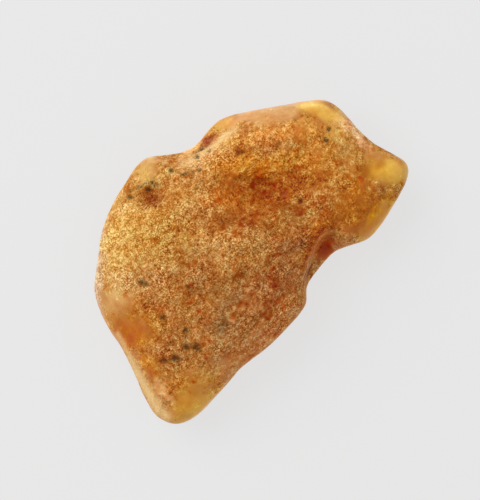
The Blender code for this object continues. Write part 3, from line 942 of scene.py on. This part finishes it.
@dataclass
class AmberPebble:
    """The lump itself.

    How far a point stands out runs from -1, in a sharp hollow, to 1, on a sharp ridge.

    Attributes:
        square: Size of the skin's squares, in millimetres.
        smoothing: Rounds of smoothing that take the solid's facets out of the skin.
        merged: Distance under which the solid's corners are one, in millimetres.
        reach: Rounds of spreading by which ridges and hollows are told from planes.
        sharp: Height that a sharp ridge stands out from its surroundings, in millimetres.
        clearness: How deep light reaches into the amber, in millimetres.
        light: Ordinary lightness.
        red: Ordinary redness.
        gold: Ordinary golden saturation.
        crust: Ordinary amount of crust.
        most_crust: Largest amount of crust.
        below: How far down a point faces where the under side starts, and where it is whole.
        level: How far up or down a point faces at the middle of the rim's painted sheen, and where it
            ends.
        rim_sheen_kept: Share of the rim's painted sheen and thinner crust that is left in hollows.
        rim_sheen_raised: How far the rim stands out where its painted sheen grows, and where it is whole.
        unscattered: How far up a point faces where scattered windows get fewer, and where they end.
        window: Values of the wear's clouds at a window's edge, and inside it.
        ridge: How far a ridge stands out where it gets bare, and where it is bare.
        ridge_bare: Crust that a bare ridge has lost, and how much more on the under side.
        folded: How far up or down a point faces where sides fold out less, and where they don't.
        widest: Height at which the lump is widest, in millimetres.
        fine_wander: Share of the wandering that fine marks take part in.
        rubbed_spread: Half width of a rubbed spot, in sizes.
        grain_spread: Half width of a mineral grain, in sizes.
        grain_shade_spread: Half width of the painted shade round a grain, in sizes.
        grain_face: How far up a point faces where grains and cracks start, and where they are whole.
        upright: How far up or down a point faces where sides bulge less, and where they don't.
        bulge_foot: Heights at which the bulge starts, and is whole, in millimetres.
        bulge: Bulge of the sides, in millimetres.
        toe_bulge: How much more the toe bulges, in millimetres.
        toe: Distances from the middle at which the toe starts, and is whole, in millimetres.
        ray_start: Depth under the skin at which rays start, in millimetres.
        ray_slant: How far rays slant from straight inwards.
        ray_turns: Directions in which rays slant, in radians.
        ray_rises: How far the slants rise or fall.
        skin: The remade skin, once there is one.
    """

    square: float = 0.2
    smoothing: int = 10
    merged: float = 0.001
    reach: int = 40
    sharp: float = 0.25
    clearness: float = 1.6
    light: float = 0.49
    red: float = 0.255
    gold: float = 0.38
    crust: float = 0.85
    most_crust: float = 1.3
    below: Limits = (-0.1, 0.4)
    level: Limits = (0.1, 0.6)
    rim_sheen_kept: float = 0.35
    rim_sheen_raised: Limits = (-0.3, 0.2)
    unscattered: Limits = (-0.35, 0.15)
    window: Limits = (0.14, 0.3)
    ridge: Limits = (0.2, 0.8)
    ridge_bare: tuple[float, float] = (0.1, 0.6)
    folded: Limits = (0.3, 0.9)
    widest: float = 5.8
    fine_wander: float = 0.3
    rubbed_spread: float = 1.5
    grain_spread: float = 1.3
    grain_shade_spread: float = 2.4
    grain_face: Limits = (0.1, 0.45)
    upright: Limits = (0.1, 0.7)
    bulge_foot: Limits = (0.2, 1.5)
    bulge: float = 0.07
    toe_bulge: float = 0.16
    toe: Limits = (13.0, 18.0)
    ray_start: float = 0.05
    ray_slant: float = 0.8
    ray_turns: tuple[float, ...] = (0.5, 2.6, 4.7)
    ray_rises: tuple[float, ...] = (-0.4, 0.4)
    skin: bpy.types.Object | None = field(default=None, init=False)

    def remake_skin(self, node: bpy.types.Object) -> None:
        """Copies the solid and remakes its skin in small even squares.

        Args:
            node: The solid.
        """
        shape = bmesh.new()
        shape.from_mesh(node.data)
        bmesh.ops.remove_doubles(shape, verts=shape.verts[:], dist=self.merged * MM)
        mesh = bpy.data.meshes.new("pebble_skin")
        shape.to_mesh(mesh)
        shape.free()
        rough = bpy.data.objects.new("pebble_skin", mesh)
        bpy.context.scene.collection.objects.link(rough)
        remesh = rough.modifiers.new("squares", "REMESH")
        remesh.mode = "VOXEL"
        remesh.voxel_size = self.square * MM
        smooth = rough.modifiers.new("smooth", "SMOOTH")
        smooth.iterations = self.smoothing
        self.skin = plain(rough, "pebble_skin")

    def mark(self) -> None:
        """Marks the skin with all that its relief and its finish need."""
        places, normals = self.points()
        facing = normals[:, 2]
        edge = self.edges(places, normals)
        marks = self.ordinary(places, facing, edge)
        flat = self.unrolled(places, normals)
        astray = flat + self.wandered(places) - places
        near = flat + self.fine_wander * (astray - flat)
        for patch in PATCHES:
            patch.lay(marks, patch.over(astray, facing))
        # Painted shade round each mineral grain.
        GRAIN_SHADE.lay(marks, strongest(spots(GRAINS, self.grain_shade_spread), astray, facing))
        # The grains and cracks, with the painted shadow under the notch's lip.
        grains = [*spots(GRAINS, self.grain_spread), *CRACKS_AND_SHADOW]
        marks[Mark.CRUST] = np.clip(marks[Mark.CRUST], 0, self.most_crust)
        marks[Mark.FROST] = strongest(FROSTS, near, facing)
        marks[Mark.STAIN] = strongest(grains, near, facing) * eased(facing, *self.grain_face)
        marks[Mark.RUBBED] = strongest(spots(RUBBED, self.rubbed_spread), astray, facing)
        # Where the lump is thin, its colour gets a painted glow of light passing through.
        marks[Mark.THIN] = self.thinness(places, normals)
        marks[Mark.SHARP] = edge
        marks[Mark.SWELL] = self.swell(places, facing)
        for mark in Mark:
            layer = self.skin.data.attributes.new(mark.value, "FLOAT", "POINT")
            layer.data.foreach_set("value", marks[mark].astype(np.float32))

    def points(self) -> tuple[np.ndarray, np.ndarray]:
        """Reads the skin's points.

        Returns:
            Their places, in millimetres, and their normals.
        """
        vertices = self.skin.data.vertices
        places, normals = np.empty(len(vertices) * 3), np.empty(len(vertices) * 3)
        vertices.foreach_get("co", places)
        vertices.foreach_get("normal", normals)
        return places.reshape(-1, 3) / MM, normals.reshape(-1, 3)

    def ordinary(
        self, places: np.ndarray, facing: np.ndarray, edge: np.ndarray
    ) -> dict[Mark, np.ndarray]:
        """Gives each point the ordinary amber, with a painted sheen and thinner crust at the rim, tinted
        on ridges and in windows.

        Args:
            places: Points of the skin, in millimetres.
            facing: How far each point faces up.
            edge: How far each point stands out.

        Returns:
            The amount of lightness, redness, gold and crust at each point.
        """
        below = eased(-facing, *self.below)
        # The rim's painted sheen: lighter and less golden where the skin turns away from view, with less
        # of it in hollows.
        rim = 1 - eased(np.abs(facing), *self.level)
        rim = rim * (self.rim_sheen_kept + (1 - self.rim_sheen_kept) * eased(edge, *self.rim_sheen_raised))
        bare = eased(edge, *self.ridge) * (self.ridge_bare[0] + self.ridge_bare[1] * below)
        worn = self.worn(places) * (1 - eased(facing, *self.unscattered))
        ground = {
            Mark.LIGHT: self.light,
            Mark.RED: self.red,
            Mark.GOLD: self.gold,
            Mark.CRUST: self.crust,
        }
        marks = {mark: np.full(len(places), amount) for mark, amount in ground.items()}
        RIDGE_BELOW.lay(marks, below * edge)
        BARE_RIDGE.lay(marks, bare)
        # Lays the rim's painted sheen and its thinner crust.
        RIM_SHEEN.lay(marks, rim)
        WORN.lay(marks, worn)
        return marks

    def worn(self, places: np.ndarray) -> np.ndarray:
        """Finds scattered places where the crust is worn to windows.

        Args:
            places: Points of the skin, in millimetres.

        Returns:
            A share from 0 to 1 for each point.
        """
        clouds = [
            sum(weight * noise.noise(p / size) for size, weight in WEAR) for p in map(Vector, places)
        ]
        return eased(np.array(clouds), *self.window)

    def unrolled(self, places: np.ndarray, normals: np.ndarray) -> np.ndarray:
        """Folds the steep sides out flat, so that a patch drawn from above closes below the rim.

        Args:
            places: Points of the skin, in millimetres.
            normals: Their normals.

        Returns:
            The points, moved outwards the lower they lie.
        """
        outward = normals * (1, 1, 0)
        drop = np.maximum(self.widest - places[:, 2], 0)
        drop = drop * (1 - eased(np.abs(normals[:, 2]), *self.folded))
        return places + outward * drop[:, None]

    @staticmethod
    def wandered(places: np.ndarray) -> np.ndarray:
        """Moves points a little astray, so that what is drawn by them gets a natural edge.

        Args:
            places: Points of the skin, in millimetres.

        Returns:
            The points, moved.
        """
        moved = [
            [sum(far * noise.noise(p / size + start) for size, far in WANDER) for start in STARTS]
            for p in map(Vector, places)
        ]
        return places + np.array(moved)

    def swell(self, places: np.ndarray, facing: np.ndarray) -> np.ndarray:
        """Finds how far the steep sides bulge, which makes up for what smoothing took off them.

        Args:
            places: Points of the skin, in millimetres.
            facing: How far each point faces up.

        Returns:
            The bulge, in millimetres.
        """
        steep = 1 - eased(np.abs(facing), *self.upright)
        steep = steep * eased(places[:, 2], *self.bulge_foot)
        return steep * (self.bulge + self.toe_bulge * eased(-places[:, 0], *self.toe))

    def edges(self, places: np.ndarray, normals: np.ndarray) -> np.ndarray:
        """Finds how far each point stands out from its surroundings.

        Args:
            places: Points of the skin, in millimetres.
            normals: Their normals.

        Returns:
            About 1 on a sharp ridge, 0 on a plane and -1 in a sharp hollow.
        """
        mesh = self.skin.data
        ends = np.empty(len(mesh.edges) * 2, np.int64)
        mesh.edges.foreach_get("vertices", ends)
        ends = ends.reshape(-1, 2)
        near, far = np.concatenate([ends, ends[:, ::-1]]).T
        count = np.bincount(near, minlength=len(places))[:, None]
        smooth = places.copy()
        for _ in range(self.reach):
            sums = [np.bincount(near, smooth[far, axis], len(places)) for axis in range(3)]
            smooth = (smooth + np.stack(sums, 1) / count) / 2
        return np.clip(np.einsum("ij,ij->i", places - smooth, normals) / self.sharp, -1, 1)

    def thinness(self, places: np.ndarray, normals: np.ndarray) -> np.ndarray:
        """Finds how thin the lump is under each point, by looking inwards aslant.

        Args:
            places: Points of the skin, in millimetres.
            normals: Their normals.

        Returns:
            About 1 where light passes through, and 0 where the lump is thick.
        """
        tree = BVHTree.FromObject(self.skin, bpy.context.evaluated_depsgraph_get())
        slants = [
            Vector((math.cos(turn), math.sin(turn), rise))
            for turn in self.ray_turns
            for rise in self.ray_rises
        ]
        passed = np.zeros(len(places))
        for index, (place, normal) in enumerate(zip(places * MM, normals)):
            inward = Vector(-normal)
            start = Vector(place) + inward * self.ray_start * MM
            for slant in slants:
                distance = tree.ray_cast(start, inward + self.ray_slant * slant)[3] or 0.0
                passed[index] += math.exp(-distance / MM / self.clearness)
        return passed / len(slants)

    def dress(self, material: bpy.types.Material) -> bpy.types.Object:
        """Gives the skin its relief and material.

        Args:
            material: The amber.

        Returns:
            The finished piece.
        """
        tree = crust_relief()
        raised = self.skin.modifiers.new("relief", "NODES")
        raised.node_group = tree
        items = (item for item in tree.interface.items_tree if item.in_out == "INPUT")
        inputs = {item.name: item.identifier for item in items}
        raised[inputs["Material"]] = material
        piece = plain(self.skin, "amber_lump")
        piece.data.shade_smooth()
        return piece


def crust_relief() -> bpy.types.GeometryNodeTree:
    """Builds the tree that raises the crust, its grain and its pocks on the skin.

    Lengths are in millimetres. The relief fades towards the foot, the rim and ridges.

    Returns:
        The tree.
    """
    tree = bpy.data.node_groups.new("crust relief", "GeometryNodeTree")
    add = tree.interface.new_socket
    add("Geometry", in_out="INPUT", socket_type="NodeSocketGeometry")
    add("Material", in_out="INPUT", socket_type="NodeSocketMaterial")
    sizes = {
        "Seed": 3.0,
        "Crust Thickness": 0.06,
        "Crust Start": 0.1,
        "Crust End": 0.7,
        "Crust Fraying": 0.9,
        "Cloud Roughness": 0.6,
        "Grain Size": 0.42,
        "Grain Height": 0.28,
        "Pock Size": 1.2,
        "Pock Depth": 1.0,
        "Grain Pit": 0.12,
        "Foot Start": 0.05,
        "Foot End": 0.9,
        "Rim Start": 0.15,
        "Rim End": 0.6,
        "Rim Share": 0.12,
        "Ridge Start": 0.2,
        "Ridge End": 0.8,
        "Ridge Share": 0.15,
    }
    for name, value in sizes.items():
        add(name, in_out="INPUT", socket_type="NodeSocketFloat").default_value = value
    add("Geometry", in_out="OUTPUT", socket_type="NodeSocketGeometry")
    w = Wiring(tree)
    given = w.add("NodeGroupInput").outputs
    place = w.scaled(w.add("GeometryNodeInputPosition").outputs[0], 1 / MM)
    normal = w.add("GeometryNodeInputNormal").outputs[0]
    marks = {
        mark: w.add("GeometryNodeInputNamedAttribute", {"data_type": "FLOAT"}, name=mark.value).outputs[0]
        for mark in (Mark.CRUST, Mark.STAIN, Mark.SHARP, Mark.SWELL)
    }
    clouds = {}
    for name in ("Grain", "Pock"):
        cloud = w.add(
            "ShaderNodeTexNoise",
            {"noise_dimensions": "4D"},
            vector=place,
            w=given["Seed"],
            scale=w.math("DIVIDE", 1.0, given[f"{name} Size"]),
            detail=1.0,
            roughness=given["Cloud Roughness"],
        )
        clouds[name] = w.math("SUBTRACT", cloud.outputs[0], MIDDLE)
    ragged = w.math("MULTIPLY_ADD", clouds["Pock"], given["Crust Fraying"], marks[Mark.CRUST])
    rise = w.math("MULTIPLY", clouds["Grain"], given["Grain Height"])
    rise = w.math("MULTIPLY_ADD", clouds["Pock"], given["Pock Depth"], rise)
    rise = w.math("ADD", rise, given["Crust Thickness"])
    height = w.add("ShaderNodeSeparateXYZ", vector=place).outputs["Z"]
    upright = w.math("ABSOLUTE", w.add("ShaderNodeSeparateXYZ", vector=normal).outputs["Z"])
    shares = (
        w.graded(ragged, given["Crust Start"], given["Crust End"]),
        w.graded(height, given["Foot Start"], given["Foot End"]),
        w.graded(upright, given["Rim Start"], given["Rim End"], given["Rim Share"]),
        w.graded(
            marks[Mark.SHARP], given["Ridge Start"], given["Ridge End"], 1.0, given["Ridge Share"]
        ),
    )
    for share in shares:
        rise = w.math("MULTIPLY", rise, share)
    sunk = w.math("MULTIPLY", marks[Mark.STAIN], given["Grain Pit"])
    out = w.math("ADD", w.math("SUBTRACT", rise, sunk), marks[Mark.SWELL])
    offset = w.scaled(normal, w.math("MULTIPLY", out, MM))
    moved = w.add("GeometryNodeSetPosition", geometry=given["Geometry"], offset=offset).outputs[0]
    real = w.add("GeometryNodeRealizeInstances", geometry=moved).outputs[0]
    done = w.add("GeometryNodeSetMaterial", geometry=real, material=given["Material"]).outputs[0]
    w.put(w.add("NodeGroupOutput").inputs[0], done)
    return tree


def plain(source: bpy.types.Object, name: str) -> bpy.types.Object:
    """Turns an object and its modifiers into a plain mesh object, and removes the object.

    Args:
        source: The object.
        name: Name of the new one.

    Returns:
        The new object, at the origin.
    """
    graph = bpy.context.evaluated_depsgraph_get()
    mesh = bpy.data.meshes.new_from_object(source.evaluated_get(graph))
    mesh.name = name
    bpy.data.objects.remove(source)
    made = bpy.data.objects.new(name, mesh)
    bpy.context.scene.collection.objects.link(made)
    bpy.context.view_layer.update()
    return made


@dataclass
class Studio:
    """The pale floor, the soft light and the camera straight above.

    Attributes:
        pixel: Real size of one pixel at the pebble, in millimetres.
        width: Width of the picture, in pixels.
        height: Height of the picture, in pixels.
        centre: Pixel at which the pebble's origin is seen.
        lens: Focal length of the lens, in millimetres.
        sensor: Width of the sensor, in millimetres.
        nearest: Nearest distance that the camera sees, in millimetres.
        level: Height on the pebble at which a pixel has its size, in millimetres.
        turn: Turn of the camera about the vertical, in degrees.
        sky: Strength of the light from all round.
        key: Power of the soft lamp, in watts.
        key_size: Width of the lamp, in metres.
        key_place: Place of the lamp, in metres.
        floor_half: Half width of the floor, in metres.
        floor_grey: How much light the floor throws back.
        floor_rough: Roughness of the floor.
        glow: Strength of the floor's own light.
    """

    pixel: float = 0.12643
    width: int = 480
    height: int = 500
    centre: tuple[float, float] = (225.3, 233.3)
    lens: float = 120.0
    sensor: float = 36.0
    nearest: float = 1.0
    level: float = 8.0
    turn: float = -45.0
    sky: float = 0.6
    key: float = 0.95
    key_size: float = 0.3
    key_place: tuple[float, float, float] = (-0.04, 0.24, 0.3)
    floor_half: float = 1.0
    floor_grey: float = 0.12
    floor_rough: float = 0.9
    glow: float = 0.683

    def camera(self) -> None:
        """Sets the camera looking straight down, turned so that the pebble lies aslant."""
        data = bpy.data.cameras.new("camera")
        data.lens, data.sensor_width = self.lens, self.sensor
        data.clip_start = self.nearest * MM
        camera = bpy.data.objects.new("camera", data)
        away = self.height * self.pixel * self.lens / self.sensor
        right = (self.width / 2 - self.centre[0]) * self.pixel
        down = (self.height / 2 - self.centre[1]) * self.pixel
        turn = math.radians(self.turn)
        x = right * math.cos(turn) + down * math.sin(turn)
        y = right * math.sin(turn) - down * math.cos(turn)
        camera.location = (x * MM, y * MM, (away + self.level) * MM)
        camera.rotation_euler = (0.0, 0.0, turn)
        bpy.context.scene.collection.objects.link(camera)
        bpy.context.scene.camera = camera

    def light(self) -> None:
        """Lights the pebble evenly from all round, and softly from the flank's side."""
        world = bpy.data.worlds.new("soft sky")
        world.use_nodes = True
        sky = world.node_tree.nodes["Background"]
        sky.inputs["Color"].default_value = (1.0, 1.0, 1.0, 1.0)
        sky.inputs["Strength"].default_value = self.sky
        bpy.context.scene.world = world
        data = bpy.data.lights.new("soft key", "AREA")
        data.size = self.key_size
        data.energy = self.key
        lamp = bpy.data.objects.new("soft key", data)
        lamp.location = self.key_place
        lamp.rotation_euler = (-lamp.location).to_track_quat("-Z", "Y").to_euler()
        bpy.context.scene.collection.objects.link(lamp)
        bpy.context.scene.view_settings.view_transform = "Standard"

    def floor(self) -> None:
        """Lays the pale floor."""
        mesh = bpy.data.meshes.new("floor")
        half = self.floor_half
        corners = [(-half, -half, 0), (half, -half, 0), (half, half, 0), (-half, half, 0)]
        mesh.from_pydata(corners, [], [(0, 1, 2, 3)])
        material = bpy.data.materials.new("pale floor")
        material.use_nodes = True
        shader = material.node_tree.nodes["Principled BSDF"]
        shader.inputs["Base Color"].default_value = (*[self.floor_grey] * 3, 1.0)
        shader.inputs["Roughness"].default_value = self.floor_rough
        shader.inputs["Specular IOR Level"].default_value = 0.0
        shader.inputs["Emission Color"].default_value = (1.0, 1.0, 1.0, 1.0)
        shader.inputs["Emission Strength"].default_value = self.glow
        mesh.materials.append(material)
        floor = bpy.data.objects.new("floor", mesh)
        bpy.context.scene.collection.objects.link(floor)


def main() -> None:
    """Builds the pebble and the studio round it."""
    logging.basicConfig(level=logging.INFO, format="%(name)s: %(message)s")
    amber = AmberFinish().material()
    pebble = AmberPebble()
    pebble.remake_skin(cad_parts[NODE])
    pebble.mark()
    lump = pebble.dress(amber)
    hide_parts(NODE)
    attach(lump, BODY)
    log.info("%s: %d faces", lump.name, len(lump.data.polygons))
    studio = Studio()
    studio.floor()
    studio.light()
    studio.camera()


if __name__ == "__main__":
    main()
